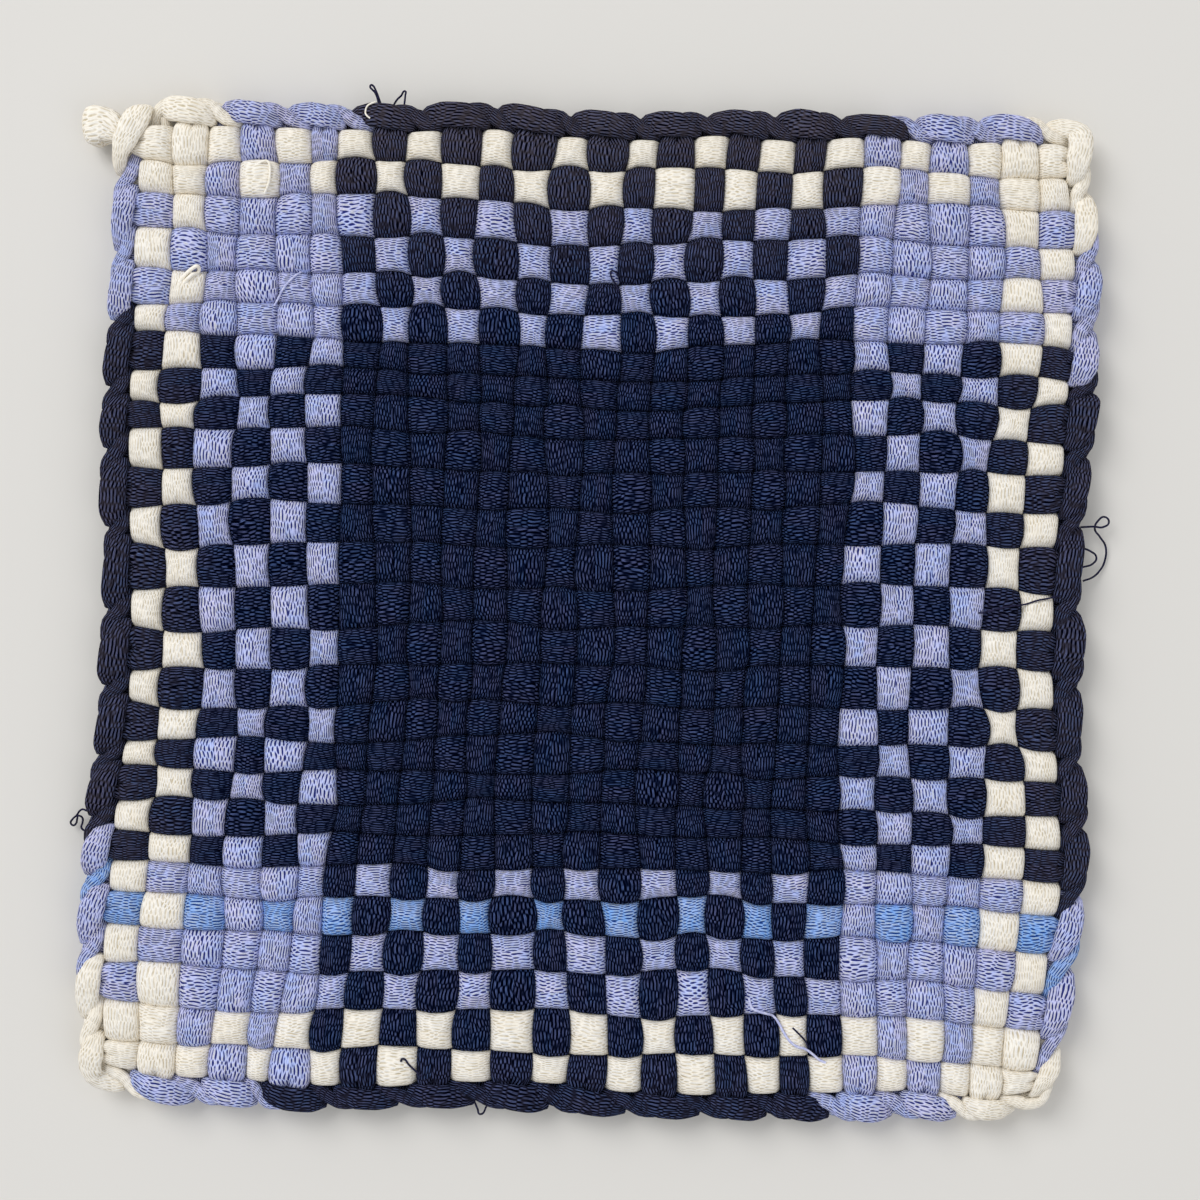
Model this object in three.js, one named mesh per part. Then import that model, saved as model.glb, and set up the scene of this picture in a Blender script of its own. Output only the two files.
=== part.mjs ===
// A square potholder woven from closed loops of knitted cotton.
// The warp loops run up the cloth and the weft loops run across it, in plain weave. Each loop lies as a flat
// band of two strands. Where a band leaves the cloth it is drawn together into a neck, and its end is a link
// of the chain that binds the edge: each link holds the neck of the next loop. The chain starts at the top
// left corner, runs clockwise seen from the front, and its last link there is the hanging loop.
// Units are millimetres. +Z is up, out of the cloth's front, +X runs right and +Y runs up the cloth. The
// origin is at the middle of the cloth, on the surface that it lies on.

import * as THREE from 'three';

// The cloth
const LOOPS_PER_SIDE = 27;
const BAND_WIDTH = 6.5;
const BAND_THICKNESS = 3.6;
const SIDE_GAP = 0.7;
const CLEARANCE = 0.35;
const REST_FACE = 2.4;

// The chained edge
const NECK_WIDTH = 2.4;
const NECK_THICKNESS = 2.0;
const LEG_WIDTH = 2.4;
const TIP_WIDTH = 1.6;
const TIP_LENGTH = 1.3;

// The hanging loop
const HANGER_LENGTH = 7.8;
const HANGER_WIDTH = 8.8;
const HANGER_THICKNESS = 4.4;
const HANGER_RISE = 3.0;
const HANGER_STEM = 0.8;
const SLIT_LENGTH = 3.2;
const SLIT_WIDTH = 1.4;

// Stripes, counted in loops from each edge towards the middle
const IVORY_STRIPE = 2;
const PERIWINKLE_STRIPE = 4;
const SKY_BLUE_ROW_FROM_BOTTOM = 5;

const COTTON_COLOURS = {
  ivory: '#e9e2d3',
  periwinkle: '#929bc6',
  navy: '#171d33',
  skyBlue: '#7597c8',
};

// Sizes that follow from the ones above
const PITCH = BAND_WIDTH + SIDE_GAP;
const HALF_SPAN = (LOOPS_PER_SIDE - 1) * PITCH / 2;
const CRIMP = (BAND_THICKNESS + CLEARANCE) / 2;
const MID_HEIGHT = CRIMP + BAND_THICKNESS / 2;
const MIDDLE_LOOP = Math.floor((LOOPS_PER_SIDE - 1) / 2);

// A link's eye is the neck's own diamond, grown all round by the clearance
const NECK_SLOPE = Math.hypot(NECK_WIDTH, NECK_THICKNESS) / (NECK_WIDTH * NECK_THICKNESS);
const EYE_GROWTH = 1 + 2 * CLEARANCE * NECK_SLOPE;
const EYE_HALF_LENGTH = EYE_GROWTH * NECK_WIDTH / 2;
const EYE_HALF_HEIGHT = EYE_GROWTH * NECK_THICKNESS / 2;

// Distances out from the centre line of the outermost band
const WAIST_OUT = BAND_WIDTH / 2 + CLEARANCE;
const HOLD_OUT = WAIST_OUT + LEG_WIDTH / 2;
const TURN_OUT = HOLD_OUT + LEG_WIDTH + 2 * CLEARANCE;
const ELBOW_OUT = (HOLD_OUT + TURN_OUT) / 2;
const HANGER_ROOT_OUT = HOLD_OUT + LEG_WIDTH / 2 + CLEARANCE;

const UP = new THREE.Vector3(0, 0, 1);

// The four edges in the order of the chain: which way is out, and which way the chain runs on
const EDGES = [
  { out: new THREE.Vector3(0, 1, 0), on: new THREE.Vector3(1, 0, 0) },
  { out: new THREE.Vector3(1, 0, 0), on: new THREE.Vector3(0, -1, 0) },
  { out: new THREE.Vector3(0, -1, 0), on: new THREE.Vector3(-1, 0, 0) },
  { out: new THREE.Vector3(-1, 0, 0), on: new THREE.Vector3(0, 1, 0) },
];

// One neck for each loop's end, at the last crossing before the edge
const necks = EDGES.flatMap(({ out, on }) => Array.from({ length: LOOPS_PER_SIDE }, (_, i) => {
  const at = out.clone().multiplyScalar(HALF_SPAN);
  at.addScaledVector(on, i * PITCH - HALF_SPAN);
  return { at, out, on };
}));

// A point near a neck: on along the edge, out from it, and up from the middle of the cloth
function beside(neck, on, out, up) {
  const point = neck.at.clone();
  point.addScaledVector(neck.on, on);
  point.addScaledVector(neck.out, out);
  return point.addScaledVector(UP, up);
}

// A closed solid built face by face, with its corners listed anticlockwise as seen from outside
class FacetedSolid {
  constructor() {
    this.points = [];
    this.triangles = [];
  }

  point(place) {
    this.points.push(place.x, place.y, place.z);
    return this.points.length / 3 - 1;
  }

  // A fan of triangles from the first corner. A corner given twice drops the triangle that it closes up.
  face(...corners) {
    for (let i = 1; i + 1 < corners.length; i += 1) {
      const triangle = [corners[0], corners[i], corners[i + 1]];
      if (new Set(triangle).size === 3) {
        this.triangles.push(...triangle);
      }
    }
  }

  // A diamond section: left edge, crown, right edge, and a keel that counts as two corners at one point
  ring(left, crown, right, keel) {
    const corners = [left, crown, right, keel].map((place) => this.point(place));
    return [...corners, corners[3]];
  }

  // The walls between two sections
  wall(from, to) {
    from.forEach((corner, i) => {
      const next = (i + 1) % from.length;
      this.face(corner, from[next], to[next], to[i]);
    });
  }

  geometry() {
    const geometry = new THREE.BufferGeometry();
    geometry.setAttribute('position', new THREE.Float32BufferAttribute(this.points, 3));
    geometry.setIndex(this.triangles);
    geometry.computeVertexNormals();
    return geometry;
  }
}

// A diamond section across a band or a neck, square to the way that it runs
function sectionAt(solid, neck, out, width, thickness, up) {
  return solid.ring(
    beside(neck, -width / 2, out, up),
    beside(neck, 0, out, up + thickness / 2),
    beside(neck, width / 2, out, up),
    beside(neck, 0, out, up - thickness / 2),
  );
}

// The lowest crossing at the middle of the cloth has a flat keel, the face that the part is set down on.
// A plain section on either side of it brings the band back to its own shape.
function restSection(solid, neck, out, up) {
  const half = REST_FACE / 2;
  const [left, crown, right] = [
    beside(neck, -BAND_WIDTH / 2, out, up),
    beside(neck, 0, out, up + BAND_THICKNESS / 2),
    beside(neck, BAND_WIDTH / 2, out, up),
  ].map((place) => solid.point(place));
  const [nearRight, nearLeft, farRight, farLeft] = [[half, -half], [-half, -half], [half, half], [-half, half]]
    .map(([on, ahead]) => solid.point(beside(neck, on, out + ahead, up - BAND_THICKNESS / 2)));
  solid.face(nearLeft, farLeft, farRight, nearRight);
  solid.face(left, farLeft, nearLeft);
  solid.face(right, nearRight, farRight);

  const shoulderUp = up + 2 * CRIMP * REST_FACE / PITCH;
  const comesIn = sectionAt(solid, neck, out - REST_FACE, BAND_WIDTH, BAND_THICKNESS, shoulderUp);
  const goesOn = sectionAt(solid, neck, out + REST_FACE, BAND_WIDTH, BAND_THICKNESS, shoulderUp);
  solid.wall(comesIn, [left, crown, right, nearRight, nearLeft]);
  solid.wall([left, crown, right, farRight, farLeft], goesOn);
  return { comesIn, goesOn };
}

// The band through the cloth, over and under the loops that it crosses. It returns its two end sections.
function wovenBand(solid, neck, liesOver, restCrossing) {
  let first = null;
  let last = null;
  for (let crossing = 0; crossing < LOOPS_PER_SIDE; crossing += 1) {
    const out = (crossing + 1 - LOOPS_PER_SIDE) * PITCH;
    const up = liesOver(crossing) ? CRIMP : -CRIMP;
    let section = null;
    if (crossing === restCrossing) {
      section = restSection(solid, neck, out, up);
    } else {
      const plain = sectionAt(solid, neck, out, BAND_WIDTH, BAND_THICKNESS, up);
      section = { comesIn: plain, goesOn: plain };
    }
    if (last) {
      solid.wall(last, section.comesIn);
    } else {
      first = section.comesIn;
    }
    last = section.goesOn;
  }
  return { first, last };
}

// The section where a neck turns along the edge: its back edge comes outermost and its front edge innermost
function turnSection(solid, neck) {
  return solid.ring(
    beside(neck, -NECK_WIDTH / 2, TURN_OUT + LEG_WIDTH / 2, 0),
    beside(neck, 0, TURN_OUT, NECK_THICKNESS / 2),
    beside(neck, NECK_WIDTH / 2, TURN_OUT - LEG_WIDTH / 2, 0),
    beside(neck, 0, TURN_OUT, -NECK_THICKNESS / 2),
  );
}

// The section where a link bends round a corner of the cloth, swelling on its way to the next neck
function elbowSection(solid, neck, next) {
  const diagonal = neck.out.clone().add(next.out);
  const centre = neck.at.clone().addScaledVector(diagonal, ELBOW_OUT);
  const swell = (NECK_THICKNESS / 2 + MID_HEIGHT) / 2;
  const across = diagonal.clone().setLength(LEG_WIDTH / 2);
  const ring = solid.ring(
    centre.clone().add(across),
    centre.clone().addScaledVector(UP, swell),
    centre.clone().sub(across),
    centre.clone().addScaledVector(UP, -swell),
  );
  return { centre, ring };
}

// One side of a link's eye, towards the cloth or away from it
function eyeSide(solid, next, nearCentre, side) {
  const out = HOLD_OUT + side * LEG_WIDTH / 2;
  const near = nearCentre.clone().addScaledVector(next.out, side * LEG_WIDTH / 2);
  return {
    near: solid.point(near),
    top: solid.point(beside(next, 0, out, EYE_HALF_HEIGHT)),
    far: solid.point(beside(next, EYE_HALF_LENGTH, HOLD_OUT + side * TIP_WIDTH / 2, 0)),
    bottom: solid.point(beside(next, 0, out, -EYE_HALF_HEIGHT)),
  };
}

// A loop's end as a link: out through the link before it, along the edge, and round the next loop's neck
function bindingLink(solid, root, neck, next) {
  const waist = sectionAt(solid, neck, WAIST_OUT, NECK_WIDTH, NECK_THICKNESS, 0);
  solid.wall(root, waist);
  let ring = turnSection(solid, neck);
  let centre = beside(neck, 0, TURN_OUT, 0);
  solid.wall(waist, ring);
  if (neck.out !== next.out) {
    const elbow = elbowSection(solid, neck, next);
    solid.wall(ring, elbow.ring);
    ({ ring, centre } = elbow);
  }

  const [outerEdge, crown, innerEdge, keel] = ring;
  const hold = beside(next, 0, HOLD_OUT, 0);
  const run = hold.clone().sub(centre).dot(next.on);
  const nearCentre = hold.clone().lerp(centre, EYE_HALF_LENGTH / run);
  const outer = eyeSide(solid, next, nearCentre, 1);
  const inner = eyeSide(solid, next, nearCentre, -1);
  const crest = solid.point(beside(next, 0, HOLD_OUT, MID_HEIGHT));
  const trough = solid.point(beside(next, 0, HOLD_OUT, -MID_HEIGHT));
  const tip = solid.point(beside(next, EYE_HALF_LENGTH + TIP_LENGTH, HOLD_OUT, 0));

  // The front leg
  solid.face(crown, crest, outer.top, outer.near, outerEdge);
  solid.face(crown, innerEdge, inner.near, inner.top, crest);
  solid.face(crest, tip, outer.far, outer.top);
  solid.face(crest, inner.top, inner.far, tip);
  // The back leg
  solid.face(keel, trough, inner.bottom, inner.near, innerEdge);
  solid.face(keel, outerEdge, outer.near, outer.bottom, trough);
  solid.face(trough, tip, inner.far, inner.bottom);
  solid.face(trough, outer.bottom, outer.far, tip);
  // The eye
  solid.wall(Object.values(outer), Object.values(inner));
}

// The last end of the chain: a short loop that stands out from the corner, its eye drawn shut to a slit
function hangingLoop(solid, root, neck) {
  const waist = sectionAt(solid, neck, WAIST_OUT, NECK_WIDTH, NECK_THICKNESS, 0);
  const stem = sectionAt(solid, neck, HANGER_ROOT_OUT, NECK_WIDTH, NECK_THICKNESS, 0);
  solid.wall(root, waist);
  solid.wall(waist, stem);

  const centreOut = HANGER_ROOT_OUT + HANGER_STEM + HANGER_LENGTH / 2;
  const oval = (width, length, degrees, up) => {
    const angle = THREE.MathUtils.degToRad(degrees);
    const on = HANGER_RISE + Math.cos(angle) * width / 2;
    return solid.point(beside(neck, on, centreOut + Math.sin(angle) * length / 2, up));
  };
  const [behind, crown, ahead, keel] = stem;
  const rim = [-30, 30, 90, 150, 210].map((degrees) => oval(HANGER_WIDTH, HANGER_LENGTH, degrees, 0));
  const quarters = [-90, 0, 90, 180];
  const slit = quarters.map((degrees) => oval(SLIT_WIDTH, SLIT_LENGTH, degrees, 0));
  const ridge = (up) => quarters.map((degrees) => (
    oval((HANGER_WIDTH + SLIT_WIDTH) / 2, (HANGER_LENGTH + SLIT_LENGTH) / 2, degrees, up)));

  const coverHalf = (stemRidge, [near, right, far, left], face) => {
    face(stemRidge, ahead, near);
    face(behind, stemRidge, near);
    face(rim[0], right, near, ahead);
    face(right, rim[0], rim[1], rim[2], far);
    face(left, far, rim[2], rim[3], rim[4]);
    face(rim[4], behind, near, left);
    face(near, right, slit[1], slit[0]);
    face(right, far, slit[2], slit[1]);
    face(far, left, slit[3], slit[2]);
    face(left, near, slit[0], slit[3]);
  };
  const halfThickness = HANGER_THICKNESS / 2;
  coverHalf(crown, ridge(halfThickness), (...corners) => solid.face(...corners));
  coverHalf(keel, ridge(-halfThickness), (...corners) => solid.face(...corners.reverse()));
}

// A whole loop, from the neck at one edge to the neck at the other
function cottonLoop({ name, colour, startEdge, endEdge, place, liesOver, restCrossing }) {
  const solid = new FacetedSolid();
  const start = startEdge * LOOPS_PER_SIDE + (LOOPS_PER_SIDE - 1 - place);
  const end = endEdge * LOOPS_PER_SIDE + place;
  const { first, last } = wovenBand(solid, necks[end], liesOver, restCrossing);
  const [left, crown, right, keelRight, keelLeft] = first;
  const turnedFirst = [right, crown, left, keelLeft, keelRight];

  bindingLink(solid, last, necks[end], necks[end + 1]);
  if (start + 1 < necks.length) {
    bindingLink(solid, turnedFirst, necks[start], necks[start + 1]);
  } else {
    hangingLoop(solid, turnedFirst, necks[start]);
  }

  const material = new THREE.MeshStandardMaterial({ color: colour, roughness: 0.95, metalness: 0 });
  material.flatShading = true;
  const mesh = new THREE.Mesh(solid.geometry(), material);
  mesh.name = name;
  mesh.position.z = MID_HEIGHT;
  return mesh;
}

function stripeColour(place) {
  const fromEdge = Math.min(place, LOOPS_PER_SIDE - 1 - place);
  if (fromEdge < IVORY_STRIPE) {
    return COTTON_COLOURS.ivory;
  }
  return fromEdge < IVORY_STRIPE + PERIWINKLE_STRIPE ? COTTON_COLOURS.periwinkle : COTTON_COLOURS.navy;
}

function nameOf(kind, place) {
  return `${kind}_loop_${String(place + 1).padStart(2, '0')}`;
}

// Columns count from the left and rows from the top, as the chain meets them
function warpLoop(column) {
  return cottonLoop({
    name: nameOf('warp', column),
    colour: stripeColour(column),
    startEdge: 2,
    endEdge: 0,
    place: column,
    liesOver: (crossing) => (column + LOOPS_PER_SIDE - 1 - crossing) % 2 === 1,
    restCrossing: column === MIDDLE_LOOP ? LOOPS_PER_SIDE - 1 - MIDDLE_LOOP : null,
  });
}

function weftLoop(row) {
  const isSkyBlue = row === LOOPS_PER_SIDE - SKY_BLUE_ROW_FROM_BOTTOM;
  return cottonLoop({
    name: nameOf('weft', row),
    colour: isSkyBlue ? COTTON_COLOURS.skyBlue : stripeColour(row),
    startEdge: 3,
    endEdge: 1,
    place: row,
    liesOver: (crossing) => (row + crossing) % 2 === 0,
    restCrossing: null,
  });
}

const potholder = new THREE.Group();
for (let place = 0; place < LOOPS_PER_SIDE; place += 1) {
  potholder.add(warpLoop(place));
  potholder.add(weftLoop(place));
}

export default potholder;
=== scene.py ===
# %% [markdown]
# A potholder woven from closed loops of cotton jersey. Twenty-seven loops run up and down, twenty-seven run
# across, and the edge is bound by drawing the end of each loop through the end of the one before it.
# Every length here is in millimetres, until the mesh is made.

import math

import bpy
import numpy as np
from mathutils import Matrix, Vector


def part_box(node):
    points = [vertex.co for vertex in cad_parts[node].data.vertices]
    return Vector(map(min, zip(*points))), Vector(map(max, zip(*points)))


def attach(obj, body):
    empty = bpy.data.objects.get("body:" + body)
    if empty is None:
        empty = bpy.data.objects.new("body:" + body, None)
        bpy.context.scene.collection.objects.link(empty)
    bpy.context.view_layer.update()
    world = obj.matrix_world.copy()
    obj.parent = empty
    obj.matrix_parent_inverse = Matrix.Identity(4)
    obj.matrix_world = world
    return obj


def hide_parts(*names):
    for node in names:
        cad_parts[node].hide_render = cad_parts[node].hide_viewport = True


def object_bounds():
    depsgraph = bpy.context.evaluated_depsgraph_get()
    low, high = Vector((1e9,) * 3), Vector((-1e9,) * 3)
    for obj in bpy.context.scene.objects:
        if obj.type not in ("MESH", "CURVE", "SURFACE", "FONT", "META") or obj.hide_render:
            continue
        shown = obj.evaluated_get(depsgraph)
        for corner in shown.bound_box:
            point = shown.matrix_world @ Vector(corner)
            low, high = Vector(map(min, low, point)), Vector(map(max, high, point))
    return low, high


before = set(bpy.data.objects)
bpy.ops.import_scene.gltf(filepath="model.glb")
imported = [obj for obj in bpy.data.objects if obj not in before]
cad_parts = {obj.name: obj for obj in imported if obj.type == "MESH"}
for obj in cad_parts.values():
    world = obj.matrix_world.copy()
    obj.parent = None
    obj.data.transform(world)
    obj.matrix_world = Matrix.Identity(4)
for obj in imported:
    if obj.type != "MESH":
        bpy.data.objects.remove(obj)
cad_low, cad_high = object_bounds()
print(len(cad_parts), "loops in the frame")

# %% [markdown]
# The weave is worked out from the frame: how many loops there are, how far apart they lie, and how high the
# middle of the cloth is above the floor. Two loops that are shaped alike give the distance.

# %% Driving sizes
LOOPS = len(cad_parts) // 2
SECOND, LAST_BUT_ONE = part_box("warp_loop_02"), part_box("warp_loop_26")
PITCH = round(1000 * (LAST_BUT_ONE[0][0] - SECOND[0][0]) / (LOOPS - 3), 3)
HALF_SPAN = PITCH * (LOOPS - 1) / 2
MID_HEIGHT = round(500 * (cad_low[2] + cad_high[2]), 3)
UP = np.array([0.0, 0.0, 1.0])
print(LOOPS, "loops each way,", PITCH, "mm apart, middle at", MID_HEIGHT, "mm")

# %% [markdown]
# The colours make a border of stripes round a dark middle, the same on all four sides except for one sky blue
# loop near the bottom. The weave is plain: each loop goes over one and under the next, and its neighbours do
# the opposite.

# %% The pattern of the weave
IVORY_STRIPE = 2
PERIWINKLE_STRIPE = 4
# Rows are counted from 0 at the top, and columns from 0 at the left.
SKY_BLUE_ROW = 22


def cotton_of(kind, loop):
    """The finish of a loop, by its place from the nearer side."""
    if kind == "weft" and loop == SKY_BLUE_ROW:
        return "sky_blue_cotton"
    place = min(loop, LOOPS - 1 - loop)
    if place < IVORY_STRIPE:
        return "ivory_cotton"
    return "periwinkle_cotton" if place < IVORY_STRIPE + PERIWINKLE_STRIPE else "navy_cotton"


def over(kind, loop, crossing):
    """True where the loop lies on top. Crossings are counted along the loop, up or to the right."""
    return (loop + crossing) % 2 == (1 if kind == "warp" else 0)


half_columns = [cotton_of("warp", loop).removesuffix("_cotton") for loop in range(LOOPS // 2 + 1)]
print("columns:", ", ".join(half_columns), "and back")

# %% [markdown]
# No two cells of a hand-woven cloth are the same size. Where a fuller strand lies on top it pushes the line
# between two cells aside, and navy loops are the plumpest. The sizes are drawn by lot, once and for all.

# %% Uneven cells
NAVY_SWELL = 0.07
CELL_SWELL = 0.20
LOT_SEED = 27
LATTICE_SIDE = 64
# A place is held this many steps short of a lattice's length, so that it always has a next point.
HELD_INSIDE = 1.001
rng = np.random.default_rng(LOT_SEED)
DRIFT_X, DRIFT_Y, CELL_SIZE, FULLNESS, GROOVE = rng.uniform(-1, 1, (5, LATTICE_SIDE, LATTICE_SIDE))


def smooth(t):
    """A soft step from 0 to 1."""
    t = np.clip(t, 0, 1)
    return t * t * (3 - 2 * t)


def between(lattice, i, j):
    """A value of a lattice between its points, held at the edges."""
    i = np.clip(i, 0, lattice.shape[0] - HELD_INSIDE)
    j = np.clip(j, 0, lattice.shape[1] - HELD_INSIDE)
    a, b = i.astype(int), j.astype(int)
    u, v = smooth(i - a), smooth(j - b)
    low = lattice[a, b] * (1 - u) + lattice[a + 1, b] * u
    high = lattice[a, b + 1] * (1 - u) + lattice[a + 1, b + 1] * u
    return low * (1 - v) + high * v


def cell_swell(column, row):
    """How much larger than its neighbours the cell at that crossing shows."""
    navy_warp = cotton_of("warp", column) == "navy_cotton"
    navy_weft = cotton_of("weft", row) == "navy_cotton"
    warp_on_top = over("warp", column, LOOPS - 1 - row)
    gain = NAVY_SWELL * (int(navy_warp) - int(navy_weft))
    return (gain if warp_on_top else -gain) + CELL_SWELL * CELL_SIZE[column, row]


def edge_shifts():
    """How far the swelling moves the line between two cells: across, then up, on lattices of half a pitch."""
    swell = np.array([[cell_swell(c, LOOPS - 1 - k) for k in range(LOOPS)] for c in range(LOOPS)])
    across, up = np.zeros((2 * LOOPS + 1, LOOPS)), np.zeros((LOOPS, 2 * LOOPS + 1))
    across[2:-1:2] = PITCH / 4 * (swell[:-1] - swell[1:])
    up[:, 2:-1:2] = PITCH / 4 * (swell[:, :-1] - swell[:, 1:])
    return across, up


ACROSS_SHIFT, UP_SHIFT = edge_shifts()
print("lines between cells move by up to", round(float(np.abs(ACROSS_SHIFT).max()), 2), "mm")

# %% [markdown]
# Hand weaving is never quite regular. One smooth field of small shifts moves every loop in the same way,
# so the cells become uneven and neighbours still fit. The cloth also leans a little and is a little longer
# than wide, its rows are packed closer in some places, and here and there the hand has pulled it harder.
# Each pull has a place on the even weave, a reach, and the shift that it gives to what is near: across,
# then up.

# %% The drift of a hand-made cloth
LEAN = 0.0047
STRETCH_X = 0.9925
STRETCH_Y = 1.0077
CELL_DRIFT = 0.80
DRIFT_LENGTH = 2.2 * PITCH
LATTICE_MIDDLE = 20.5
ROW_DRIFT = 2.2
ROW_RISE = 0.7
ROW_DRIFT_LENGTH = 96.0
ROW_DRIFT_PEAK = 26.0
TOP_FADE = 70.0
BOTTOM_FADE = 40.0
BOTTOM_SLACK = 10.0
FLOOR_GAP = 0.02
PULLS = [
    ((60, -14), 32, (-3.0, 0.0)),
    ((-66, -16), 26, (2.6, -1.2)),
    ((-40, 90), 20, (-2.2, 0.6)),
    ((58, 74), 26, (-2.0, 0.0)),
    ((-50, -102), 20, (-3.2, -0.4)),
    ((24, -102), 22, (2.4, -1.0)),
    ((-104, -50), 20, (-2.8, 0.0)),
    ((-100, 30), 30, (-1.2, 0.0)),
    ((98, -100), 20, (-2.6, -1.0)),
    ((66, 18), 26, (0.0, 2.0)),
    ((104, -45), 16, (2.6, -0.6)),
    ((-92, 4), 18, (0.0, -1.6)),
    ((0, 64), 20, (0.0, -1.4)),
    ((-56, 30), 18, (0.0, 1.6)),
    ((-34, -60), 18, (-1.6, -1.0)),
    ((-70, -66), 16, (1.6, -1.0)),
    ((104, 104), 14, (-3.0, -1.0)),
    ((108, 52), 26, (1.6, 0.6)),
    ((102, -78), 16, (0.0, -3.0)),
    ((24, -8), 18, (1.4, 0.0)),
    ((-24, -30), 18, (-0.8, 1.0)),
    ((-106, -104), 14, (0.5, 4.5)),
    ((-100, -84), 14, (-2.6, 0.0)),
    ((106, -106), 13, (-3.2, 5.0)),
    ((-60, 60), 18, (1.4, 0.0)),
    ((86, 28), 16, (-1.2, 0.0)),
    ((62, 62), 16, (0.0, 1.2)),
    ((54, -77), 16, (-1.2, 0.0)),
    ((-90, -102), 14, (0.0, -1.4)),
]


def value_noise(x, y, lattice):
    """Smooth noise from -1 to 1, with one value to each step of the lattice."""
    side = lattice.shape[0]
    i, j = np.floor(x).astype(int), np.floor(y).astype(int)
    u, v = smooth(x - i), smooth(y - j)
    i, j = i % side, j % side
    k, m = (i + 1) % side, (j + 1) % side
    low = lattice[i, j] * (1 - u) + lattice[k, j] * u
    high = lattice[i, m] * (1 - u) + lattice[k, m] * u
    return low * (1 - v) + high * v


def lie(points):
    """Points of the even weave as they lie in the real cloth."""
    x, y, z = points[..., 0], points[..., 1], points[..., 2]
    drift_x = value_noise(x / PITCH + LATTICE_MIDDLE, y / DRIFT_LENGTH + LATTICE_MIDDLE, DRIFT_X)
    drift_y = value_noise(x / DRIFT_LENGTH + LATTICE_MIDDLE, y / PITCH + LATTICE_MIDDLE, DRIFT_Y)
    i, j = (x + HALF_SPAN) / PITCH, (y + HALF_SPAN) / PITCH
    moved_x = x + CELL_DRIFT * drift_x + between(ACROSS_SHIFT, 2 * i + 1, j)
    moved_y = y + CELL_DRIFT * drift_y + between(UP_SHIFT, i, 2 * j + 1)
    packing = ROW_RISE + ROW_DRIFT * np.cos(2 * np.pi * (y - ROW_DRIFT_PEAK) / ROW_DRIFT_LENGTH)
    inside = smooth((HALF_SPAN - y) / TOP_FADE) * smooth((HALF_SPAN + BOTTOM_SLACK + y) / BOTTOM_FADE)
    moved_y = moved_y + packing * inside
    for (place_x, place_y), reach, (pull_x, pull_y) in PULLS:
        near = np.exp(-((x - place_x) ** 2 + (y - place_y) ** 2) / (2 * reach**2))
        moved_x = moved_x + pull_x * near
        moved_y = moved_y + pull_y * near
    lain_x = STRETCH_X * moved_x + LEAN * moved_y
    lain_y = STRETCH_Y * moved_y + LEAN * moved_x
    return np.stack([lain_x, lain_y, np.maximum(z + MID_HEIGHT, FLOOR_GAP)], axis=-1)


print(len(PULLS), "pulls")

# %% [markdown]
# The chain takes up 108 ends, two of each loop, clockwise from the top left corner. All but the last are
# links. A neck is the place where a loop leaves the cloth. Its own directions are along the chain, out of
# the cloth, and up.

# %% The necks of the chain
EDGES = [
    ("top", (1, 0), (0, 1)),
    ("right", (0, -1), (1, 0)),
    ("bottom", (-1, 0), (0, -1)),
    ("left", (0, 1), (-1, 0)),
]


def make_necks():
    """Every neck in the order of the chain."""
    necks = []
    for edge, along, out in EDGES:
        along, out = np.array([*along, 0.0]), np.array([*out, 0.0])
        kind = "warp" if edge in ("top", "bottom") else "weft"
        for k in range(LOOPS):
            origin = along * (k - (LOOPS - 1) / 2) * PITCH + out * HALF_SPAN
            loop = k if edge in ("top", "right") else LOOPS - 1 - k
            crossing = LOOPS - 1 if edge in ("top", "right") else 0
            front = 1 if over(kind, loop, crossing) else -1
            necks.append({"kind": kind, "loop": loop, "end": edge in ("top", "right"), "origin": origin,
                          "along": along, "out": out, "front": front})
    return necks


NECKS = make_necks()
LAST = len(NECKS) - 1
print(len(NECKS), "necks")

# %% [markdown]
# In the cloth a loop is a flat band of two strands. It rises and falls with the crossings, and its section
# is shaped so that the underside of the band on top and the upper side of the band below it are the same
# surface. The outer side is a fuller pillow. Half of this section, with a flat inner wall, is one strand,
# and a hair's breadth is left between the two strands.

# %% A strand in the cloth
CRIMP = 1.80
CRIMP_POWER = 0.45
PILLOW = MID_HEIGHT - CRIMP - FLOOR_GAP
PILLOW_POWER = 2.6
TURN_HEIGHT = 0.7
GROOVE_WALL = 0.985
GROOVE_RADIUS = 0.3
WALL_GAP = 0.004
WALL_STEPS = 4
SIDE_STEPS = 9
POINTS_AROUND = WALL_STEPS + 2 * SIDE_STEPS
OUTLINE_POINTS = 16


def crimp(steps):
    """The rise and fall of a loop, from 1 at one crossing to -1 at the next."""
    c = np.cos(np.pi * steps)
    return np.sign(c) * np.abs(c) ** CRIMP_POWER


def even_steps(lines, count):
    """Lines with that many equal steps along each."""
    steps = np.linalg.norm(np.diff(lines, axis=1), axis=2)
    reach = np.concatenate([np.zeros((len(steps), 1)), np.cumsum(steps, axis=1)], axis=1)
    made = np.zeros((len(lines), count + 1, 2))
    for m in range(len(lines)):
        at = np.linspace(0, reach[m, -1], count + 1)
        made[m, :, 0] = np.interp(at, reach[m], lines[m, :, 0])
        made[m, :, 1] = np.interp(at, reach[m], lines[m, :, 1])
    return made


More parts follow.
